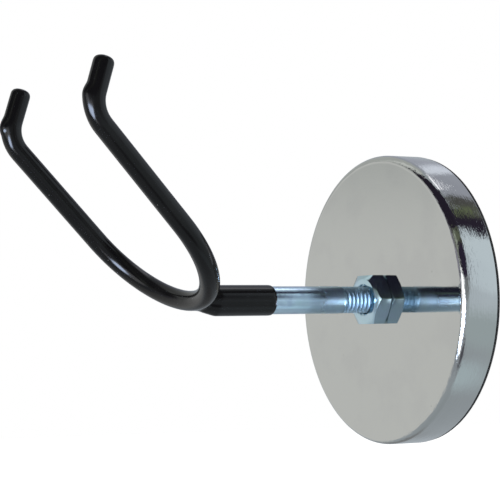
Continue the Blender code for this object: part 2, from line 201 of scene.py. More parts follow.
# The stem's worn plate and the nut's fresher, smoother one
STEM_PLATE = {"smoothest": 0.18, "dullest": 0.46, "pit_depth": 0.00002,
              "fresh_plate": (0.62, 0.80, 0.93, 1), "plate": (0.40, 0.55, 0.68, 1),
              "green_plate": (0.50, 0.68, 0.74, 1), "lilac_plate": (0.42, 0.53, 0.72, 1)}
NUT_PLATE = {"smoothest": 0.06, "dullest": 0.20, "pit_depth": 0.000002,
             "fresh_plate": (0.51, 0.68, 0.78, 1), "plate": (0.51, 0.68, 0.78, 1),
             "green_plate": (0.51, 0.70, 0.75, 1), "lilac_plate": (0.51, 0.62, 0.82, 1)}

# Camera
PHOTO_WIDTH = 500
SENSOR_WIDTH = 36.0
FOCAL_PIXELS = 1760.37
CAMERA_PLACE = Vector((0.51645, -0.36129, -0.02523))
CAMERA_AZIMUTH = math.radians(60.25)
CAMERA_ELEVATION = math.radians(-4.07)
CAMERA_ROLL = math.radians(-1.71)
CAMERA_NEAREST = 0.01

# Studio
FLOOR_Z = -0.14
FLOOR_RADIUS = 3.0
FLOOR_COLOUR = (0.86, 0.86, 0.86, 1)
FLOOR_GLOW = 0.42
SOFT_GREY = (0.5, 0.5, 0.5, 1)
WHITE = (1, 1, 1, 1)
LOW_GREY = (0.37, 0.41, 0.44, 1)
LOW_GREY_ELEVATION = -90.0
WALL_GREY = (0.42, 0.46, 0.50, 1)
WALL_GREY_ELEVATION = -30.0

# What the shiny surfaces mirror, in degrees: azimuth 0 is -Y, 90 is +X, and elevation 90 is up
STUDIO_CARDS = (
    {"name": "back of the floor", "Azimuth": -110, "Half Width": 21, "Elevation": -46, "Half Height": 18,
     "Squareness": 3, "Softness": 0.5, "Colour": (0.27, 0.28, 0.29, 1)},
    {"name": "back wall", "Azimuth": -150, "Half Width": 40, "Elevation": 44, "Half Height": 24,
     "Squareness": 4, "Softness": 0.25, "Colour": (0.42, 0.44, 0.51, 1)},
    {"name": "left wall", "Azimuth": -52, "Half Width": 40, "Elevation": -11, "Half Height": 24,
     "Squareness": 4, "Softness": 0.3, "Colour": (0.735, 0.74, 0.73, 1)},
    {"name": "left curtain", "Azimuth": -68, "Half Width": 36, "Elevation": 42, "Half Height": 34,
     "Squareness": 5, "Softness": 0.12, "Colour": (0.52, 0.54, 0.53, 1)},
    {"name": "curtain edge", "Azimuth": -50, "Half Width": 7, "Elevation": 44, "Half Height": 22,
     "Slant": 0.15, "Squareness": 3, "Softness": 0.5, "Colour": (0.78, 0.80, 0.78, 1)},
    {"name": "back ceiling lamp", "Azimuth": -171, "Half Width": 20, "Elevation": 69, "Half Height": 14,
     "Slant": -0.8, "Squareness": 3, "Softness": 0.09, "Colour": (1.5, 1.5, 1.6, 1)},
    {"name": "back strip", "Azimuth": -142, "Half Width": 4, "Elevation": 40, "Half Height": 12,
     "Slant": -0.4, "Squareness": 3, "Softness": 0.5, "Colour": (0.85, 0.90, 1.02, 1)},
    {"name": "dark ceiling", "Azimuth": 50, "Half Width": 88, "Elevation": 48, "Half Height": 35,
     "Slant": 0.45, "Squareness": 9, "Softness": 0.05, "Colour": (0.024, 0.019, 0.032, 1)},
    {"name": "dark far corner", "Azimuth": 135, "Half Width": 20, "Elevation": 51, "Half Height": 17,
     "Slant": -0.9, "Squareness": 4, "Softness": 0.14, "Colour": (0.030, 0.024, 0.042, 1)},
    {"name": "violet flag", "Azimuth": 84, "Half Width": 48, "Elevation": 24, "Half Height": 12,
     "Squareness": 3, "Softness": 0.5, "Colour": (0.032, 0.024, 0.05, 1)},
    {"name": "green arch", "Azimuth": 61, "Half Width": 73, "Elevation": 41.5, "Half Height": 4.5,
     "Tilt": 0.16, "Bow": 14.5, "Squareness": 3, "Softness": 0.7, "Colour": (0.15, 0.17, 0.12, 1)},
    {"name": "bright end of the arch", "Azimuth": 18, "Half Width": 13, "Elevation": 27, "Half Height": 4.5,
     "Tilt": 0.55, "Squareness": 2, "Softness": 0.7, "Colour": (0.46, 0.50, 0.43, 1)},
    {"name": "grey sill", "Azimuth": -2, "Half Width": 16, "Elevation": 16, "Half Height": 6,
     "Squareness": 3, "Softness": 0.5, "Colour": (0.28, 0.29, 0.27, 1)},
    {"name": "violet sill", "Azimuth": -24, "Half Width": 20, "Elevation": 9, "Half Height": 6,
     "Squareness": 3, "Softness": 0.35, "Colour": (0.34, 0.33, 0.40, 1)},
    {"name": "right sill", "Azimuth": 92, "Half Width": 32, "Elevation": 4, "Half Height": 8,
     "Squareness": 4, "Softness": 0.5, "Colour": (0.24, 0.26, 0.27, 1)},
    {"name": "right wall", "Azimuth": 120, "Half Width": 44, "Elevation": -16, "Half Height": 16,
     "Squareness": 4, "Softness": 0.35, "Colour": (0.46, 0.53, 0.56, 1)},
    {"name": "glow below the window", "Azimuth": 138, "Half Width": 24, "Elevation": -1, "Half Height": 9,
     "Squareness": 2, "Softness": 0.7, "Colour": (0.64, 0.72, 0.79, 1)},
    {"name": "right window", "Azimuth": 150.5, "Half Width": 28, "Elevation": 20, "Half Height": 20,
     "Slant": 0.15, "Tilt": -0.2, "Squareness": 6, "Softness": 0.12, "Colour": (0.75, 0.85, 0.93, 1)},
    {"name": "corner post", "Azimuth": 158, "Half Width": 14.5, "Elevation": 42, "Half Height": 10.5,
     "Slant": -0.3, "Squareness": 5, "Softness": 0.15, "Colour": (0.030, 0.024, 0.040, 1)},
    {"name": "dim corner", "Azimuth": 171, "Half Width": 11, "Elevation": 48, "Half Height": 10,
     "Slant": -0.5, "Squareness": 6, "Softness": 0.25, "Colour": (0.10, 0.10, 0.095, 1)},
    {"name": "green patch", "Azimuth": 163, "Half Width": 7, "Elevation": 46.5, "Half Height": 3,
     "Squareness": 2, "Softness": 0.6, "Colour": (0.17, 0.21, 0.11, 1)},
    {"name": "low right wall", "Azimuth": 138, "Half Width": 34, "Elevation": -52, "Half Height": 11,
     "Tilt": 0.25, "Squareness": 2, "Softness": 0.6, "Colour": (0.54, 0.64, 0.69, 1)},
    {"name": "frame of the lamp", "Azimuth": 24, "Half Width": 44, "Elevation": -20, "Half Height": 24,
     "Tilt": -0.35, "Squareness": 2.5, "Softness": 0.2, "Colour": (0.35, 0.38, 0.42, 1)},
    {"name": "dark stand", "Azimuth": 86, "Half Width": 27, "Elevation": -43, "Half Height": 11,
     "Squareness": 2, "Softness": 0.6, "Colour": (0.10, 0.10, 0.12, 1)},
    {"name": "main lamp", "Azimuth": 31, "Half Width": 26, "Elevation": -11, "Half Height": 25,
     "Slant": -0.53, "Squareness": 2.3, "Softness": 0.14, "Colour": (1.9, 1.9, 1.95, 1)},
    {"name": "shaded side of the lamp", "Azimuth": 55, "Half Width": 13, "Elevation": -21, "Half Height": 15,
     "Squareness": 2, "Softness": 0.3, "Colour": (0.42, 0.45, 0.52, 1)},
    {"name": "core of the lamp", "Azimuth": 27.5, "Half Width": 12.5, "Elevation": -15, "Half Height": 12,
     "Slant": 0.4, "Squareness": 2.3, "Softness": 0.35, "Colour": (16, 19, 25, 1)},
)


# Helpers for modelling

def deselect():
    """Leave edit mode, and select nothing."""
    if bpy.context.mode != "OBJECT":
        bpy.ops.object.mode_set(mode="OBJECT")
    bpy.ops.object.select_all(action="DESELECT")


def enter(piece):
    """Go into edit mode on one piece, with nothing selected."""
    deselect()
    bpy.context.view_layer.objects.active = piece
    piece.select_set(True)
    bpy.ops.object.mode_set(mode="EDIT")
    bpy.ops.mesh.select_all(action="DESELECT")


def named(name):
    """Name the new piece, and move its place and turn into its mesh."""
    piece = bpy.context.object
    piece.name = name
    piece.data.name = name
    bpy.ops.object.transform_apply(location=True, rotation=True, scale=True)
    return piece


def new_cylinder(name, sides, radius, start, end):
    """A cylinder along Y between two places, with its place in its mesh."""
    deselect()
    bpy.ops.mesh.primitive_cylinder_add(vertices=sides, radius=radius, depth=abs(end - start),
                                        location=(0, (start + end) / 2, 0), rotation=(math.pi / 2, 0, 0))
    return named(name)


def new_line(name, points):
    """A chain of edges through points."""
    mesh = bpy.data.meshes.new(name)
    mesh.from_pydata(points, [(i, i + 1) for i in range(len(points) - 1)], [])
    piece = bpy.data.objects.new(name, mesh)
    bpy.context.scene.collection.objects.link(piece)
    return piece


def pick_faces(wanted):
    """In edit mode, select the faces whose middle passes a test."""
    bpy.ops.mesh.select_mode(type="FACE")
    bpy.ops.mesh.select_all(action="DESELECT")
    shape = bmesh.from_edit_mesh(bpy.context.object.data)
    for face in shape.faces:
        face.select_set(bool(wanted(face.calc_center_median())))
    bmesh.update_edit_mesh(bpy.context.object.data)


def pick_edges(wanted, open_only=False):
    """In edit mode, select the edges whose two ends both pass a test, or only those round an opening."""
    bpy.ops.mesh.select_mode(type="EDGE")
    bpy.ops.mesh.select_all(action="DESELECT")
    shape = bmesh.from_edit_mesh(bpy.context.object.data)
    for edge in shape.edges:
        passes = wanted(edge.verts[0].co) and wanted(edge.verts[1].co)
        edge.select_set(bool(passes and (edge.is_boundary or not open_only)))
    bmesh.update_edit_mesh(bpy.context.object.data)


def off_axis(point):
    """A point's distance from the Y axis."""
    return math.hypot(point.x, point.z)


def on_circle(y, radius):
    """A test for points on one circle round the Y axis."""
    return lambda point: abs(point.y - y) < TINY and abs(off_axis(point) - radius) < TINY


def round_edges(radius, steps):
    """In edit mode, round the selected edges."""
    bpy.ops.mesh.bevel(offset=radius, segments=steps, profile=0.5, affect="EDGES")


def leave(piece, smooth_angle=SMOOTH_ANGLE):
    """Leave edit mode with merged points, outward faces and smooth round surfaces."""
    bpy.ops.mesh.select_all(action="SELECT")
    bpy.ops.mesh.remove_doubles(threshold=MERGE_DISTANCE)
    bpy.ops.mesh.normals_make_consistent(inside=False)
    bpy.ops.object.mode_set(mode="OBJECT")
    bpy.ops.object.shade_smooth_by_angle(angle=smooth_angle)
    deselect()
    return piece


def apply_modifier(piece, kind, **settings):
    """Add a modifier with its settings and apply it."""
    deselect()
    bpy.context.view_layer.objects.active = piece
    piece.select_set(True)
    modifier = piece.modifiers.new(kind.lower(), kind)
    for option, value in settings.items():
        setattr(modifier, option, value)
    bpy.ops.object.modifier_apply(modifier=modifier.name)


def cut(piece, tool, operation):
    """Combine a piece with a tool shape, and throw the tool away."""
    apply_modifier(piece, "BOOLEAN", operation=operation, solver="EXACT", object=tool)
    bpy.data.objects.remove(tool, do_unlink=True)


def spun(name, profile, sides):
    """Spin a profile of (radius, y) points round the Y axis; it starts and ends on the axis."""
    piece = new_line(name, [(radius, y, 0) for radius, y in profile])
    enter(piece)
    bpy.ops.mesh.select_all(action="SELECT")
    bpy.ops.mesh.spin(steps=sides, angle=math.tau, center=(0, 0, 0), axis=(0, 1, 0))
    return leave(piece)


def lip_profile(radius, end_y, height, length, steps):
    """A quarter of an ellipse that rounds the end of a sleeve, as (radius, y) points."""
    points = []
    for step in range(steps + 1):
        angle = math.pi / 2 * step / steps
        points.append((radius - height * (1 - math.sin(angle)), end_y - length * (1 - math.cos(angle))))
    return points


# Magnet

def make_chrome_cup():
    """A drawn cup: a disc with a rounded front edge, hollowed from the back, with a hole for the boss."""
    cup = new_cylinder("chrome_cup", CUP_SIDES, CUP_RADIUS, CUP_FACE_Y, CUP_RIM_Y)
    enter(cup)
    pick_edges(on_circle(CUP_FACE_Y, CUP_RADIUS))
    round_edges(CUP_EDGE_RADIUS, EDGE_STEPS)
    pick_edges(on_circle(CUP_RIM_Y, CUP_RADIUS))
    round_edges(CUP_RIM_ROUNDING, ROUNDING_STEPS)

    pick_faces(lambda middle: middle.y > CUP_RIM_Y - TINY)
    bpy.ops.mesh.inset(thickness=CUP_WALL - CUP_RIM_ROUNDING)
    depth = CUP_HEIGHT - CUP_WALL
    bpy.ops.mesh.extrude_region_move(TRANSFORM_OT_translate={"value": (0, -depth, 0)})
    floor_y = CUP_RIM_Y - depth
    bpy.ops.mesh.inset(thickness=CUP_RADIUS - CUP_WALL - CUP_HOLE_RADIUS)
    bpy.ops.mesh.delete(type="FACE")
    pick_faces(lambda middle: middle.y < CUP_FACE_Y + TINY and off_axis(middle) < CUP_RADIUS / 2)
    bpy.ops.mesh.inset(thickness=CUP_RADIUS - CUP_EDGE_RADIUS - CUP_HOLE_RADIUS)
    bpy.ops.mesh.delete(type="FACE")
    pick_edges(lambda point: abs(off_axis(point) - CUP_HOLE_RADIUS) < CUP_WALL / 10)
    bpy.ops.mesh.bridge_edge_loops()
    pick_edges(on_circle(floor_y, CUP_RADIUS - CUP_WALL))
    round_edges(CUP_CORNER_RADIUS, CORNER_STEPS)
    return leave(cup)


def make_rubber_pad():
    """A thin disc with a rounded outer edge, and a smaller rounding at the cup."""
    pad = new_cylinder("rubber_pad", CUP_SIDES, PAD_RADIUS, -PAD_THICKNESS, 0)
    enter(pad)
    pick_edges(lambda point: off_axis(point) > PAD_RADIUS - TINY and abs(point.y) < TINY)
    round_edges(PAD_ROUNDING, ROUNDING_STEPS)
    pick_edges(on_circle(-PAD_THICKNESS, PAD_RADIUS))
    round_edges(PAD_ROUNDING / 2, FINE_ROUNDING_STEPS)
    return leave(pad)


# Stem and nut

def make_threaded_stem():
    """A rolled thread made with a screw, run out into the plain shank, with a tapered nose for the weld."""
    turns = math.ceil((SHANK_START + THREAD_ENGAGEMENT) / THREAD_PITCH) + SPARE_TURNS
    start_y = CUP_FACE_Y - SHANK_START - THREAD_PITCH * SPARE_TURNS_BELOW
    profile = []
    for along, height in THREAD_SHARES + ((1.0, THREAD_SHARES[0][1]),):
        profile.append((0, start_y + THREAD_PITCH * along, THREAD_RADIUS - THREAD_DEPTH * (1 - height)))
    stem = new_line("threaded_stem", profile)
    apply_modifier(stem, "SCREW", axis="Y", angle=math.tau, screw_offset=THREAD_PITCH, iterations=turns,
                   steps=THREAD_SIDES, render_steps=THREAD_SIDES, use_merge_vertices=True,
                   merge_threshold=MERGE_DISTANCE)
    shoulder_y = CUP_FACE_Y - SHANK_START
    tip_y = CUP_FACE_Y + THREAD_ENGAGEMENT

    enter(stem)
    bpy.ops.mesh.select_all(action="SELECT")
    bpy.ops.mesh.remove_doubles(threshold=MERGE_DISTANCE)
    for plane_y, outwards in ((shoulder_y, -1), (tip_y, 1)):
        bpy.ops.mesh.select_all(action="SELECT")
        bpy.ops.mesh.bisect(plane_co=(0, plane_y, 0), plane_no=(0, outwards, 0), clear_outer=True,
                            threshold=MERGE_DISTANCE)
    bpy.ops.object.mode_set(mode="OBJECT")
    for vertex in stem.data.vertices:
        radius = off_axis(vertex.co)
        run_out = min(1.0, (vertex.co.y - shoulder_y) / THREAD_PITCH)
        wanted = THREAD_RADIUS - (THREAD_RADIUS - radius) * run_out
        wanted = min(wanted, THREAD_RADIUS - TIP_CHAMFER + (tip_y - vertex.co.y))
        vertex.co.x *= wanted / radius
        vertex.co.z *= wanted / radius

    enter(stem)
    rim_reach = THREAD_PITCH / 4
    pick_edges(lambda point: abs(point.y - tip_y) < rim_reach, open_only=True)
    bpy.ops.mesh.edge_face_add()
    pick_edges(lambda point: abs(point.y - shoulder_y) < rim_reach, open_only=True)
    nose_length = CUP_FACE_Y - STEM_LOW.y - NOSE_START
    nose_share = nose_length / (HOOK_DISTANCE - NOSE_START)
    nose_end_radius = STEM_RADIUS + (NOSE_RADIUS - STEM_RADIUS) * nose_share
    y = shoulder_y
    radius = THREAD_RADIUS
    for length, following in ((SHANK_CHAMFER, STEM_RADIUS),
                              (NOSE_START - SHANK_START - SHANK_CHAMFER, STEM_RADIUS),
                              (nose_length, nose_end_radius)):
        y -= length
        bpy.ops.mesh.extrude_edges_move(TRANSFORM_OT_translate={"value": (0, -length, 0)})
        bpy.ops.transform.resize(value=(following / radius, 1, following / radius), center_override=(0, y, 0))
        radius = following
    bpy.ops.mesh.edge_face_add()
    return leave(stem)


def make_hex_nut():
    """A hexagon trimmed by a cone at each face, less at its back, then bored, with its edges just broken."""
    middle_y = (NUT_LOW.y + NUT_HIGH.y) / 2
    front_y = middle_y - NUT_HEIGHT / 2
    back_y = middle_y + NUT_HEIGHT / 2
    corner_radius = NUT_ACROSS_FLATS / 2 / math.cos(math.pi / NUT_SIDES)
    nut = new_cylinder("hex_nut", NUT_SIDES, corner_radius, NUT_LOW.y, NUT_HIGH.y)
    nut.data.transform(Matrix.Rotation(-math.pi / NUT_SIDES - NUT_TURN, 4, "Y"))
    reach = corner_radius + CUT_OVERRUN
    face_chamfer = (reach - NUT_FACE_RADIUS) * math.tan(NUT_CHAMFER_ANGLE)
    back_chamfer = (reach - NUT_BACK_RADIUS) * math.tan(NUT_CHAMFER_ANGLE)
    cut(nut, spun("nut_trimmer", [
        (0, front_y), (NUT_FACE_RADIUS, front_y), (reach, front_y + face_chamfer),
        (reach, back_y - back_chamfer), (NUT_BACK_RADIUS, back_y), (0, back_y),
    ], NUT_ROUND_SIDES), "INTERSECT")
    mouth = NUT_BORE_RADIUS + NUT_COUNTERSINK + CUT_OVERRUN
    cut(nut, spun("nut_borer", [
        (0, front_y - CUT_OVERRUN), (mouth, front_y - CUT_OVERRUN),
        (NUT_BORE_RADIUS, front_y + NUT_COUNTERSINK), (NUT_BORE_RADIUS, back_y - NUT_COUNTERSINK),
        (mouth, back_y + CUT_OVERRUN), (0, back_y + CUT_OVERRUN),
    ], NUT_ROUND_SIDES), "DIFFERENCE")
    apply_modifier(nut, "BEVEL", width=NUT_EDGE_ROUNDING, segments=FINE_ROUNDING_STEPS, limit_method="ANGLE",
                   angle_limit=NUT_EDGE_ANGLE)
    enter(nut)
    return leave(nut, NUT_SMOOTH_ANGLE)


# Hook

def square_to(heading, towards):
    """The direction square to a heading that lies nearest another."""
    return (towards - heading * towards.dot(heading)).normalized()


def round_bend(place, heading, towards, radius, angle):
    """Where a bend ends, and its heading there, when it turns from a heading towards another."""
    end = place + radius * (math.sin(angle) * heading + (1 - math.cos(angle)) * towards)
    return end, math.cos(angle) * heading + math.sin(angle) * towards


def tip_bend_start():
    """Where the +X prong's tip bend starts, and the prong's heading there."""
    place, heading = round_bend(HOOK_BOTTOM, RIGHT, RISING, HOOK_BOTTOM_RADIUS, math.pi / 2 - PRONG_SPLAY)
    return place + heading * PRONG_LENGTH, heading


def spin_along(place, heading, towards, radius, angle, steps):
    """Sweep the selected ring round a bend."""
    bpy.ops.mesh.spin(steps=steps, angle=angle, center=place + towards * radius, axis=towards.cross(heading))


def make_hook_tube():
    """The coated hook: a ring swept round the bottom, up a prong and out to its tip, then mirrored."""
    deselect()
    bpy.ops.mesh.primitive_circle_add(vertices=HOOK_SIDES, radius=HOOK_RADIUS, location=HOOK_BOTTOM,
                                      rotation=(0, math.pi / 2, 0))
    hook = named("dipped_coat")
    enter(hook)
    bpy.ops.mesh.select_all(action="SELECT")
    spin_along(HOOK_BOTTOM, RIGHT, RISING, HOOK_BOTTOM_RADIUS, math.pi / 2 - PRONG_SPLAY, BOTTOM_STEPS)
    bend_start, heading = tip_bend_start()
    bpy.ops.mesh.extrude_edges_move(TRANSFORM_OT_translate={"value": heading * PRONG_LENGTH})
    upwards = square_to(heading, UP)
    spin_along(bend_start, heading, upwards, TIP_BEND_RADIUS, TIP_BEND_ANGLE, TIP_STEPS)
    bend_end, heading = round_bend(bend_start, heading, upwards, TIP_BEND_RADIUS, TIP_BEND_ANGLE)
    bpy.ops.mesh.extrude_edges_move(TRANSFORM_OT_translate={"value": heading * TIP_LENGTH})
    tip = bend_end + heading * TIP_LENGTH
    bpy.ops.mesh.edge_face_add()
    pick_edges(lambda point: abs((point - tip).dot(heading)) < TINY
               and (point - tip).length < 2 * HOOK_RADIUS)
    round_edges(COAT_TIP_ROUNDING, TIP_ROUNDING_STEPS)
    leave(hook)
    apply_modifier(hook, "MIRROR", use_axis=(True, False, False), merge_threshold=MERGE_DISTANCE)
    return hook


def make_sleeve():
    """The coat's outside over the stem, with a rounded lip, running into the hook's bottom."""
    radius = STEM_RADIUS + COAT_THICKNESS
    lip = lip_profile(radius, CUP_FACE_Y - COAT_START, COAT_LIP_HEIGHT, COAT_LIP_LENGTH, LIP_STEPS)
    profile = [(0, CUP_FACE_Y - COAT_START)] + lip
    profile += [(radius, CUP_FACE_Y - NOSE_START), (NOSE_RADIUS + COAT_THICKNESS, CUP_FACE_Y - HOOK_DISTANCE),
                (0, CUP_FACE_Y - HOOK_DISTANCE)]
    return spun("sleeve", profile, SLEEVE_SIDES)


def make_nub(rise, side, proud):
    """The drop that dried on a tip bend, as a stretched ball a rise above the bend's outermost point."""
    bend_start, heading = tip_bend_start()
    towards = square_to(heading, UP)
    turn = math.pi / 2 - math.asin(heading.z) + rise / TIP_BEND_RADIUS
    place, along = round_bend(bend_start, heading, towards, TIP_BEND_RADIUS, turn)
    outwards = -square_to(along, towards)
    middle = place + outwards * (HOOK_RADIUS + proud - NUB_HALF_DEPTH)
    beside = along.cross(outwards)
    deselect()
    bpy.ops.mesh.primitive_uv_sphere_add(segments=NUB_SIDES, ring_count=NUB_RINGS, radius=1)
    nub = bpy.context.object
    axes = Matrix((beside * NUB_HALF_WIDTH, outwards * NUB_HALF_DEPTH, along * NUB_HALF_LENGTH)).transposed()
    nub.data.transform(Matrix.Translation(middle) @ axes.to_4x4())
    nub.data.transform(Matrix.Diagonal((side, 1, 1, 1)))
    enter(nub)
    return leave(nub)


def make_drips():
    """Both tip bends' nubs, with the thicker coat that fades out above and below each."""
    drips = []
    for rise, side, run_share in ((RIGHT_NUB_RISE, 1, 1), (LEFT_NUB_RISE, -1, LEFT_RUN_SHARE)):
        drips.append(make_nub(rise, side, NUB_PROUD))
        for step, share in enumerate(NUB_RUN_ABOVE_SHARES, start=1):
            drips.append(make_nub(rise + step * NUB_RUN_STEP, side, NUB_PROUD * share))
        for step, share in enumerate(NUB_RUN_BELOW_SHARES, start=1):
            drips.append(make_nub(rise - step * NUB_RUN_STEP, side, NUB_PROUD * share * run_share))
    return drips


def soften_weld_crease(coat):
    """Fill the crease between the sleeve's nose and the hook's bottom, where the coat ran over the weld."""
    crease = coat.vertex_groups.new(name="weld_crease")
    for vertex in coat.data.vertices:
        place = vertex.co
        if abs(place.x) > HOOK_BOTTOM_RADIUS or place.z > WELD_CREASE_TOP or place.y < HOOK_BOTTOM.y:
            continue
        rise = HOOK_BOTTOM_RADIUS - math.sqrt(HOOK_BOTTOM_RADIUS ** 2 - place.x ** 2)
        axis_y = HOOK_BOTTOM.y - rise * math.cos(HOOK_RISE)
        axis_z = rise * math.sin(HOOK_RISE)
        from_hook = abs(math.hypot(place.y - axis_y, place.z - axis_z) - HOOK_RADIUS)
        share = (CUP_FACE_Y - place.y - NOSE_START) / (HOOK_DISTANCE - NOSE_START)
        nose_radius = COAT_THICKNESS + STEM_RADIUS + (NOSE_RADIUS - STEM_RADIUS) * share
        if max(from_hook, abs(off_axis(place) - nose_radius)) < WELD_CREASE_REACH:
            crease.add([vertex.index], 1.0, "REPLACE")
    apply_modifier(coat, "SMOOTH", factor=SMOOTHING_SHARE, iterations=CREASE_SMOOTHINGS,
                   vertex_group="weld_crease")
    coat.vertex_groups.clear()


def make_dipped_coat():
    """The coat as one skin: hook, sleeve and drip nubs melted together by a remesh and smoothed."""
    coat = make_hook_tube()
    added = [make_sleeve()] + make_drips()
    deselect()
    for shape in added:
        shape.select_set(True)
    coat.select_set(True)
    bpy.context.view_layer.objects.active = coat
    bpy.ops.object.join()
    apply_modifier(coat, "REMESH", mode="VOXEL", voxel_size=COAT_VOXEL, adaptivity=0)
    apply_modifier(coat, "SMOOTH", factor=SMOOTHING_SHARE, iterations=COAT_SMOOTHINGS)
    soften_weld_crease(coat)
    enter(coat)
    return leave(coat, COAT_SMOOTH_ANGLE)


# Helpers for materials

def add_node(tree, kind, inputs=None, **settings):
    """Add a node, set its options, and give inputs, by name or number, a value or another node's socket."""
    node = tree.nodes.new(kind)
    for option, value in settings.items():
        setattr(node, option, value)
    for name, value in (inputs or {}).items():
        if isinstance(value, bpy.types.NodeSocket):
            tree.links.new(value, node.inputs[name])
        else:
            node.inputs[name].default_value = value
    return node


def calculate(tree, operation, *values):
    """One step of arithmetic on numbers or sockets."""
    return add_node(tree, "ShaderNodeMath", dict(enumerate(values)), operation=operation).outputs[0]


def faded(tree, mask, share):
    """A mask or a height at a share of its strength."""
    return calculate(tree, "MULTIPLY", mask, share)


def map_range(tree, value, low, high, to_low=0.0, to_high=1.0):
    """Run smoothly from one level to another as a value goes from low to high."""
    return add_node(tree, "ShaderNodeMapRange", {
        "Value": value, "From Min": low, "From Max": high, "To Min": to_low, "To Max": to_high,
    }, interpolation_type="SMOOTHSTEP").outputs[0]


def mix_colours(tree, share, first, second):
    """Mix two colours. The sockets go by number, because the node has several of each name."""
    return add_node(tree, "ShaderNodeMix", {0: share, 6: first, 7: second}, data_type="RGBA").outputs[2]


def noise(tree, vector, scale, detail=2.0, roughness=0.5):
    """Even cloudy noise from 0 to 1."""
    return add_node(tree, "ShaderNodeTexNoise", {
        "Vector": vector, "Scale": scale, "Detail": detail, "Roughness": roughness,
    }).outputs[0]


def new_group(name, inputs, outputs):
    """An empty node group with named sockets, and the sockets to build between."""
    tree = bpy.data.node_groups.new(name, "ShaderNodeTree")
    for label, kind, value in inputs:
        socket = tree.interface.new_socket(name=label, in_out="INPUT", socket_type="NodeSocket" + kind)
        if value is not None:
            socket.default_value = value
    for label, kind in outputs:
        tree.interface.new_socket(name=label, in_out="OUTPUT", socket_type="NodeSocket" + kind)
    return tree, tree.nodes.new("NodeGroupInput").outputs, tree.nodes.new("NodeGroupOutput").inputs


def use_group(tree, group, inputs):
    """Place a group, and return its first result."""
    return add_node(tree, "ShaderNodeGroup", inputs, node_tree=group).outputs[0]


# Effects that several materials share

def make_blotches():
    """Soft blotches, such as smudges and uneven plating: 1 inside a blotch, 0 outside."""
    tree, given, result = new_group("soft_blotches", (
        ("Vector", "Vector", None), ("Scale", "Float", 50.0), ("Coverage", "Float", 0.5),
    ), (("Mask", "Float"),))
    cloud = noise(tree, given["Vector"], given["Scale"], detail=3.0)
    start = calculate(tree, "MULTIPLY_ADD", given["Coverage"], -BLOTCH_GROWTH, BLOTCH_THRESHOLD)
    end = calculate(tree, "ADD", start, BLOTCH_SOFTNESS)
    tree.links.new(map_range(tree, cloud, start, end), result["Mask"])
    return tree


def make_specks():
    """Tiny round specks, such as dust and pits: 1 on a speck, 0 between them."""
    tree, given, result = new_group("fine_specks", (
        ("Vector", "Vector", None), ("Scale", "Float", 300.0), ("Size", "Float", 0.1),
        ("Amount", "Float", 0.2),
    ), (("Mask", "Float"),))
    cells = add_node(tree, "ShaderNodeTexVoronoi", {"Vector": given["Vector"], "Scale": given["Scale"]})
    inside = map_range(tree, cells.outputs["Distance"], given["Size"], 0.0)
    chance = add_node(tree, "ShaderNodeSeparateColor", {"Color": cells.outputs["Color"]}).outputs[0]
    chosen = calculate(tree, "LESS_THAN", chance, given["Amount"])
    tree.links.new(calculate(tree, "MULTIPLY", inside, chosen), result["Mask"])
    return tree


def make_grain():
    """Fine grain with its own stretch, for drawn, rolled, cast and moulded surfaces."""
    tree, given, result = new_group("fine_grain", (
        ("Vector", "Vector", None), ("Scale", "Float", 1000.0), ("Stretch", "Vector", (1, 1, 1)),
    ), (("Height", "Float"),))
    place = add_node(tree, "ShaderNodeVectorMath", {0: given["Vector"], 1: given["Stretch"]},
                     operation="MULTIPLY").outputs[0]
    grain = noise(tree, place, given["Scale"], detail=3.0, roughness=0.6)
    tree.links.new(grain, result["Height"])
    return tree


def make_round_lines():
    """Fine lines that run round the Y axis, as turning, drawing and buffing leave them."""
    tree, given, result = new_group("round_lines", (
        ("Vector", "Vector", None), ("Scale", "Float", 2000.0), ("Shortness", "Float", 0.05),
    ), (("Height", "Float"),))
    parts = add_node(tree, "ShaderNodeSeparateXYZ", {"Vector": given["Vector"]}).outputs
    around = [calculate(tree, "MULTIPLY", parts[axis], given["Shortness"]) for axis in ("X", "Z")]
    flat = add_node(tree, "ShaderNodeCombineXYZ", {"X": parts["X"], "Y": 0.0, "Z": parts["Z"]}).outputs[0]
    radius = add_node(tree, "ShaderNodeVectorMath", {0: flat}, operation="LENGTH").outputs["Value"]
    place = add_node(tree, "ShaderNodeCombineXYZ", {
        "X": around[0], "Y": parts["Y"], "Z": around[1]}).outputs[0]
    lines = add_node(tree, "ShaderNodeTexNoise", {
        "Vector": place, "W": radius, "Scale": given["Scale"], "Detail": 2.0, "Roughness": 0.6,
    }, noise_dimensions="4D").outputs[0]
    tree.links.new(lines, result["Height"])
    return tree


def make_ring_zone():
    """A mask by distance from the Y axis: 0 inside the first radius, 1 outside the second."""
    tree, given, result = new_group("ring_zone", (
        ("Vector", "Vector", None), ("Start", "Float", 0.0), ("End", "Float", 0.05),
    ), (("Mask", "Float"),))
    parts = add_node(tree, "ShaderNodeSeparateXYZ", {"Vector": given["Vector"]}).outputs
    across = calculate(tree, "POWER", parts["X"], 2.0)
    upwards = calculate(tree, "POWER", parts["Z"], 2.0)
    radius = calculate(tree, "SQRT", calculate(tree, "ADD", across, upwards))
    tree.links.new(map_range(tree, radius, given["Start"], given["End"]), result["Mask"])
    return tree


BLOTCHES = make_blotches()
SPECKS = make_specks()
GRAIN = make_grain()
ROUND_LINES = make_round_lines()
RING_ZONE = make_ring_zone()


# Materials

def new_material(name, **settings):
    """A material with its Principled shader set, its nodes and the object's coordinates."""
    material = bpy.data.materials.new(name)
    material.use_nodes = True
    tree = material.node_tree
    shader = tree.nodes["Principled BSDF"]
    for socket, value in settings.items():
        shader.inputs[socket.replace("_", " ")].default_value = value
    place = add_node(tree, "ShaderNodeTexCoord").outputs["Object"]
    return material, tree, shader.inputs, place


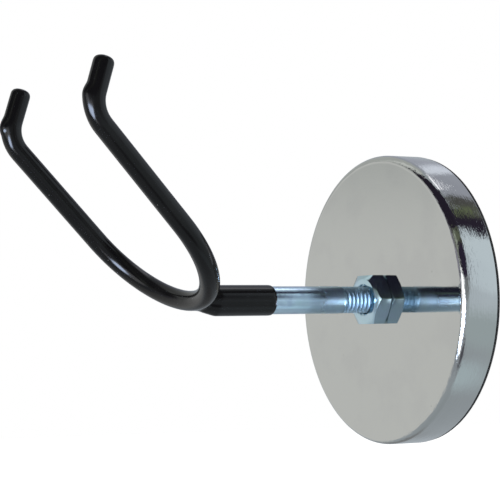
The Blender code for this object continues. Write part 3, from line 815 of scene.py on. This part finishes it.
def roughen(tree, surface, mask, smoothest, dullest, low=0.0, high=1.0):
    """Link a roughness that rises from its smoothest to its dullest as a mask goes from low to high."""
    tree.links.new(map_range(tree, mask, low, high, smoothest, dullest), surface["Roughness"])


def bump(tree, height, distance, normal=None):
    """A normal for marks of a depth, laid over another normal where one is given."""
    inputs = {"Height": height, "Distance": distance, "Strength": 1.0}
    if normal is not None:
        inputs["Normal"] = normal
    return add_node(tree, "ShaderNodeBump", inputs).outputs["Normal"]


def make_chrome():
    """Bright chrome: a mirror with faint smudges and specks, streaked round its drawn and buffed edge."""
    chrome, tree, surface, place = new_material("bright_chrome", Metallic=1.0)
    smudges = use_group(tree, BLOTCHES, {"Vector": place, "Scale": 55.0, "Coverage": 0.55})
    haze = use_group(tree, BLOTCHES, {"Vector": place, "Scale": 260.0, "Coverage": 0.35})
    specks = use_group(tree, SPECKS, {"Vector": place, "Scale": 300.0, "Size": 0.13, "Amount": 0.03})
    edge = use_group(tree, RING_ZONE, {"Vector": place, "Start": CUP_RADIUS - CUP_EDGE_RADIUS * 1.3,
                                       "End": CUP_RADIUS - CUP_EDGE_RADIUS / 2})
    colour = mix_colours(tree, smudges, CHROME, CHROME_SMUDGE)
    colour = mix_colours(tree, faded(tree, specks, 0.35), colour, CHROME_SPECK)
    tree.links.new(colour, surface["Base Color"])
    dull = faded(tree, calculate(tree, "ADD", smudges, haze), 0.5)
    roughen(tree, surface, dull, smoothest=0.035, dullest=0.085)
    streaks = use_group(tree, ROUND_LINES, {"Vector": place, "Scale": 2000.0, "Shortness": 0.15})
    ripple = use_group(tree, GRAIN, {"Vector": place, "Scale": 420.0})
    wave = use_group(tree, GRAIN, {"Vector": place, "Scale": 24.0})
    uneven = calculate(tree, "ADD", faded(tree, streaks, 0.8), faded(tree, ripple, 0.35))
    on_edge = faded(tree, uneven, map_range(tree, edge, 0.0, 1.0, to_low=0.03, to_high=1.0))
    along = add_node(tree, "ShaderNodeSeparateXYZ", {"Vector": place}).outputs["Y"]
    on_edge = faded(tree, on_edge, map_range(tree, along, CUP_FACE_Y + CUP_EDGE_RADIUS,
                                             CUP_FACE_Y + 2 * CUP_EDGE_RADIUS, to_low=1.0, to_high=0.6))
    normal = bump(tree, on_edge, CHROME_STREAK_DEPTH)
    tree.links.new(bump(tree, wave, CHROME_WAVE_DEPTH, normal), surface["Normal"])
    return chrome


def make_zinc(name, smoothest, dullest, pit_depth, fresh_plate, plate, green_plate, lilac_plate):
    """Bright zinc plate with a blue passivate: satin, with lilac and green clouds, fine lines and pits, and a
    painted shade that darkens the thread.
    """
    zinc, tree, surface, place = new_material(name, Metallic=1.0)
    green = use_group(tree, BLOTCHES, {"Vector": place, "Scale": 120.0, "Coverage": 0.6})
    lilac = use_group(tree, BLOTCHES, {"Vector": place, "Scale": 210.0, "Coverage": 0.45})
    specks = use_group(tree, SPECKS, {"Vector": place, "Scale": 900.0, "Size": 0.2, "Amount": 0.12})
    along = add_node(tree, "ShaderNodeSeparateXYZ", {"Vector": place}).outputs["Y"]
    handled = map_range(tree, along, CUP_FACE_Y - COAT_START, CUP_FACE_Y - SHANK_START)
    colour = mix_colours(tree, handled, fresh_plate, plate)
    colour = mix_colours(tree, faded(tree, green, 0.5), colour, green_plate)
    colour = mix_colours(tree, faded(tree, lilac, 0.4), colour, lilac_plate)
    colour = mix_colours(tree, faded(tree, specks, 0.5), colour, ZINC_SPECK)
    on_thread = use_group(tree, RING_ZONE, {"Vector": place, "Start": STEM_RADIUS, "End": THREAD_RADIUS})
    # Painted shade: the thread gets a darker plate than the shank, which dims the highlights on its crests
    colour = mix_colours(tree, faded(tree, on_thread, 0.8), colour, ZINC_PAINTED_THREAD_SHADE)
    tree.links.new(colour, surface["Base Color"])
    lines = use_group(tree, GRAIN, {"Vector": place, "Scale": 1500.0, "Stretch": (1, 0.12, 1)})
    pits = use_group(tree, GRAIN, {"Vector": place, "Scale": 1300.0})
    uneven = faded(tree, calculate(tree, "ADD", lilac, lines), 0.3)
    worn = calculate(tree, "MAXIMUM", handled, calculate(tree, "MULTIPLY", on_thread, THREAD_WEAR))
    roughen(tree, surface, calculate(tree, "ADD", uneven, worn), smoothest, dullest, high=FULL_WEAR)
    orange_peel = use_group(tree, GRAIN, {"Vector": place, "Scale": 500.0})
    normal = bump(tree, orange_peel, ZINC_PEEL_DEPTH)
    normal = bump(tree, faded(tree, pits, handled), pit_depth, normal)
    tree.links.new(bump(tree, lines, ZINC_LINE_DEPTH, normal), surface["Normal"])
    return zinc


def make_vinyl():
    """Glossy black dipped vinyl: a dark, slightly uneven skin with a little dust."""
    vinyl, tree, surface, place = new_material("dipped_vinyl", IOR=1.5, Specular_IOR_Level=0.28)
    clouds = use_group(tree, BLOTCHES, {"Vector": place, "Scale": 90.0, "Coverage": 0.5})
    dust = use_group(tree, SPECKS, {"Vector": place, "Scale": 420.0, "Size": 0.1, "Amount": 0.05})
    colour = mix_colours(tree, clouds, VINYL, VINYL_CLOUD)
    tree.links.new(mix_colours(tree, dust, colour, VINYL_DUST), surface["Base Color"])
    roughen(tree, surface, calculate(tree, "MAXIMUM", clouds, dust), smoothest=0.13, dullest=0.19)
    skin = use_group(tree, GRAIN, {"Vector": place, "Scale": 260.0})
    tree.links.new(bump(tree, skin, VINYL_SKIN_DEPTH), surface["Normal"])
    return vinyl


def make_rubber():
    """Matt black rubber sheet with a fine moulded grain and traces of dust."""
    rubber, tree, surface, place = new_material("pad_rubber", IOR=1.5)
    clouds = use_group(tree, BLOTCHES, {"Vector": place, "Scale": 40.0, "Coverage": 0.5})
    dust = use_group(tree, SPECKS, {"Vector": place, "Scale": 500.0, "Size": 0.14, "Amount": 0.15})
    grain = use_group(tree, GRAIN, {"Vector": place, "Scale": 1600.0})
    colour = mix_colours(tree, clouds, RUBBER, RUBBER_CLOUD)
    tree.links.new(mix_colours(tree, dust, colour, RUBBER_DUST), surface["Base Color"])
    roughen(tree, surface, clouds, smoothest=0.62, dullest=0.78)
    tree.links.new(bump(tree, grain, RUBBER_GRAIN_DEPTH), surface["Normal"])
    return rubber


def make_steel():
    """Plain drawn steel with lines along Y and thin oil stains."""
    steel, tree, surface, place = new_material("drawn_steel", Metallic=1.0)
    stains = use_group(tree, BLOTCHES, {"Vector": place, "Scale": 150.0, "Coverage": 0.5})
    lines = use_group(tree, GRAIN, {"Vector": place, "Scale": 1400.0, "Stretch": (1, 0.1, 1)})
    tree.links.new(mix_colours(tree, stains, STEEL, STEEL_STAIN), surface["Base Color"])
    roughen(tree, surface, lines, smoothest=0.28, dullest=0.46, low=0.2, high=0.8)
    tree.links.new(bump(tree, lines, STEEL_LINE_DEPTH), surface["Normal"])
    return steel


def make_ferrite():
    """Dark grey sintered ferrite with grinding grain and small chips."""
    ferrite, tree, surface, place = new_material("sintered_ferrite", IOR=2.2)
    clouds = use_group(tree, BLOTCHES, {"Vector": place, "Scale": 60.0, "Coverage": 0.5})
    chips = use_group(tree, SPECKS, {"Vector": place, "Scale": 380.0, "Size": 0.25, "Amount": 0.3})
    grain = use_group(tree, GRAIN, {"Vector": place, "Scale": 1800.0})
    colour = mix_colours(tree, clouds, FERRITE, FERRITE_CLOUD)
    tree.links.new(mix_colours(tree, chips, colour, FERRITE_CHIP), surface["Base Color"])
    roughen(tree, surface, grain, smoothest=0.42, dullest=0.60, low=0.2, high=0.8)
    tree.links.new(bump(tree, grain, FERRITE_GRAIN_DEPTH), surface["Normal"])
    return ferrite


def make_resin():
    """Dark potting resin with a slightly wavy poured surface and a few trapped bubbles."""
    resin, tree, surface, place = new_material("potting_resin", IOR=1.55)
    clouds = use_group(tree, BLOTCHES, {"Vector": place, "Scale": 80.0, "Coverage": 0.5})
    bubbles = use_group(tree, SPECKS, {"Vector": place, "Scale": 260.0, "Size": 0.22, "Amount": 0.12})
    wave = use_group(tree, GRAIN, {"Vector": place, "Scale": 150.0})
    colour = mix_colours(tree, clouds, RESIN, RESIN_CLOUD)
    tree.links.new(mix_colours(tree, bubbles, colour, RESIN_BUBBLE), surface["Base Color"])
    roughen(tree, surface, clouds, smoothest=0.22, dullest=0.34)
    hollows = calculate(tree, "SUBTRACT", wave, bubbles)
    tree.links.new(bump(tree, hollows, RESIN_WAVE_DEPTH), surface["Normal"])
    return resin


# Studio

def make_card_group():
    """A soft-edged card in the directions round the object, laid over what lies behind it.

    Slant leans it sideways per degree up, Tilt lifts it per degree sideways, and Bow lowers its two ends.
    A Squareness of 2 makes it an ellipse. Softness is the share of its size over which its edge fades.
    """
    tree, given, result = new_group("studio_card", (
        ("Behind", "Color", None), ("Direction Azimuth", "Float", 0.0), ("Direction Elevation", "Float", 0.0),
        ("Azimuth", "Float", 0.0), ("Half Width", "Float", 10.0),
        ("Elevation", "Float", 0.0), ("Half Height", "Float", 10.0),
        ("Slant", "Float", 0.0), ("Tilt", "Float", 0.0), ("Bow", "Float", 0.0),
        ("Squareness", "Float", 4.0), ("Softness", "Float", 0.2), ("Colour", "Color", None),
    ), (("Colour", "Color"),))
    above = calculate(tree, "SUBTRACT", given["Direction Elevation"], given["Elevation"])
    beside = calculate(tree, "SUBTRACT", given["Direction Azimuth"], given["Azimuth"])
    beside = calculate(tree, "SUBTRACT", beside, calculate(tree, "MULTIPLY", given["Slant"], above))
    beside = calculate(tree, "WRAP", beside, 180.0, -180.0)
    across = calculate(tree, "DIVIDE", beside, given["Half Width"])
    above = calculate(tree, "SUBTRACT", above, calculate(tree, "MULTIPLY", given["Tilt"], beside))
    above = calculate(tree, "ADD", above, calculate(tree, "MULTIPLY", given["Bow"],
                                                    calculate(tree, "MULTIPLY", across, across)))
    upwards = calculate(tree, "DIVIDE", above, given["Half Height"])
    powers = [calculate(tree, "POWER", calculate(tree, "ABSOLUTE", share), given["Squareness"])
              for share in (across, upwards)]
    distance = calculate(tree, "POWER", calculate(tree, "ADD", *powers),
                         calculate(tree, "DIVIDE", 1.0, given["Squareness"]))
    mask = map_range(tree, distance, calculate(tree, "ADD", 1.0, given["Softness"]),
                     calculate(tree, "SUBTRACT", 1.0, given["Softness"]))
    tree.links.new(mix_colours(tree, mask, given["Behind"], given["Colour"]), result["Colour"])
    return tree


def make_world():
    """White to the camera, an even soft grey for matt surfaces, and the studio's cards for shiny ones."""
    world = bpy.data.worlds.new("studio")
    world.use_nodes = True
    tree = world.node_tree
    tree.nodes.clear()
    direction = add_node(tree, "ShaderNodeTexCoord").outputs["Generated"]
    parts = add_node(tree, "ShaderNodeSeparateXYZ", {"Vector": direction}).outputs
    azimuth = calculate(tree, "ARCTAN2", parts["X"], calculate(tree, "MULTIPLY", parts["Y"], -1.0))
    azimuth = calculate(tree, "DEGREES", azimuth)
    elevation = calculate(tree, "DEGREES", calculate(tree, "ARCSINE", parts["Z"]))
    height = map_range(tree, elevation, LOW_GREY_ELEVATION, WALL_GREY_ELEVATION)
    mirrored = mix_colours(tree, height, LOW_GREY, WALL_GREY)
    card_group = make_card_group()
    for card in STUDIO_CARDS:
        inputs = {name: value for name, value in card.items() if name != "name"}
        inputs["Behind"] = mirrored
        inputs["Direction Azimuth"] = azimuth
        inputs["Direction Elevation"] = elevation
        mirrored = use_group(tree, card_group, inputs)
    rays = add_node(tree, "ShaderNodeLightPath").outputs
    seen = mix_colours(tree, rays["Is Glossy Ray"], SOFT_GREY, mirrored)
    plain = calculate(tree, "MAXIMUM", rays["Is Camera Ray"], rays["Is Transmission Ray"])
    background = add_node(tree, "ShaderNodeBackground", {"Color": mix_colours(tree, plain, seen, WHITE)})
    add_node(tree, "ShaderNodeOutputWorld", {"Surface": background.outputs[0]})
    bpy.context.scene.world = world


def make_lamp(name, azimuth, elevation, level, spread):
    """A soft distant lamp that gives a level to what faces it; the cards stand for it in the gloss."""
    azimuth = math.radians(azimuth)
    elevation = math.radians(elevation)
    towards = Vector((math.sin(azimuth) * math.cos(elevation), -math.cos(azimuth) * math.cos(elevation),
                      math.sin(elevation)))
    data = bpy.data.lights.new(name, "SUN")
    data.energy = level * math.pi
    data.angle = math.radians(spread)
    lamp = bpy.data.objects.new(name, data)
    lamp.rotation_euler = towards.to_track_quat("Z", "Y").to_euler()
    lamp.visible_glossy = False
    bpy.context.scene.collection.objects.link(lamp)


def make_floor():
    """A plain pale floor that is white to the camera, and darker only in the object's shadow."""
    deselect()
    bpy.ops.mesh.primitive_circle_add(vertices=FLOOR_SIDES, radius=FLOOR_RADIUS, fill_type="NGON",
                                      location=(0, 0, FLOOR_Z))
    floor = named("studio_floor")
    material = bpy.data.materials.new("pale_floor")
    material.use_nodes = True
    tree = material.node_tree
    tree.nodes.clear()
    rays = add_node(tree, "ShaderNodeLightPath").outputs
    matt = add_node(tree, "ShaderNodeBsdfDiffuse", {"Color": FLOOR_COLOUR}).outputs[0]
    glow = add_node(tree, "ShaderNodeEmission", {
        "Strength": calculate(tree, "MULTIPLY", rays["Is Camera Ray"], FLOOR_GLOW)}).outputs[0]
    lit = add_node(tree, "ShaderNodeAddShader", {0: matt, 1: glow}).outputs[0]
    clear = add_node(tree, "ShaderNodeBsdfTransparent").outputs[0]
    from_below = add_node(tree, "ShaderNodeNewGeometry").outputs["Backfacing"]
    either = add_node(tree, "ShaderNodeMixShader", {0: from_below, 1: lit, 2: clear}).outputs[0]
    add_node(tree, "ShaderNodeOutputMaterial", {"Surface": either})
    floor.data.materials.append(material)
    floor.visible_glossy = False


def make_camera():
    """The camera at the photograph's viewing angle."""
    ahead = Vector((-math.sin(CAMERA_AZIMUTH) * math.cos(CAMERA_ELEVATION),
                    math.cos(CAMERA_AZIMUTH) * math.cos(CAMERA_ELEVATION), -math.sin(CAMERA_ELEVATION)))
    level = Vector((math.cos(CAMERA_AZIMUTH), math.sin(CAMERA_AZIMUTH), 0))
    above = level.cross(ahead)
    right = math.cos(CAMERA_ROLL) * level + math.sin(CAMERA_ROLL) * above
    up = math.cos(CAMERA_ROLL) * above - math.sin(CAMERA_ROLL) * level
    data = bpy.data.cameras.new("photo_camera")
    data.sensor_width = SENSOR_WIDTH
    data.lens = FOCAL_PIXELS / PHOTO_WIDTH * SENSOR_WIDTH
    data.clip_start = CAMERA_NEAREST
    camera = bpy.data.objects.new("photo_camera", data)
    bpy.context.scene.collection.objects.link(camera)
    turn = Matrix((right, up, -ahead)).transposed().to_4x4()
    camera.matrix_world = Matrix.Translation(CAMERA_PLACE) @ turn
    bpy.context.scene.camera = camera


# The whole scene

FINISHES = {"chrome": make_chrome(), "rubber": make_rubber(), "vinyl": make_vinyl(),
            "steel": make_steel(), "ferrite": make_ferrite(), "resin": make_resin(),
            "zinc": make_zinc("blue_zinc", **STEM_PLATE), "nut zinc": make_zinc("nut_zinc", **NUT_PLATE)}

for piece, body, node, slot, finish in (
        (make_chrome_cup(), "magnet", "magnet_cup", "chrome", "chrome"),
        (make_rubber_pad(), "magnet", "face_pad", "rubber", "rubber"),
        (make_threaded_stem(), "hook_arm", "stem", "zinc", "zinc"),
        (make_hex_nut(), "nut", "lock_nut", "zinc", "nut zinc"),
        (make_dipped_coat(), "hook_arm", "hook_coating", "vinyl", "vinyl")):
    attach(piece, body)
    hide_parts(node)
    piece.data.materials.clear()
    piece.data.materials.append(FINISHES[finish])

for node, finish in (("centre_boss", "steel"), ("hook_bar", "steel"), ("weld_bead", "steel"),
                     ("ferrite_ring", "ferrite"), ("inner_resin", "resin"), ("outer_resin", "resin")):
    for material_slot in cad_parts[node].material_slots:
        material_slot.material = FINISHES[finish]

make_world()
make_lamp("key_lamp", azimuth=5, elevation=40, level=0.42, spread=30)
make_lamp("fill_lamp", azimuth=110, elevation=25, level=0.18, spread=40)
make_floor()
make_camera()
bpy.context.scene.view_settings.view_transform = "Standard"
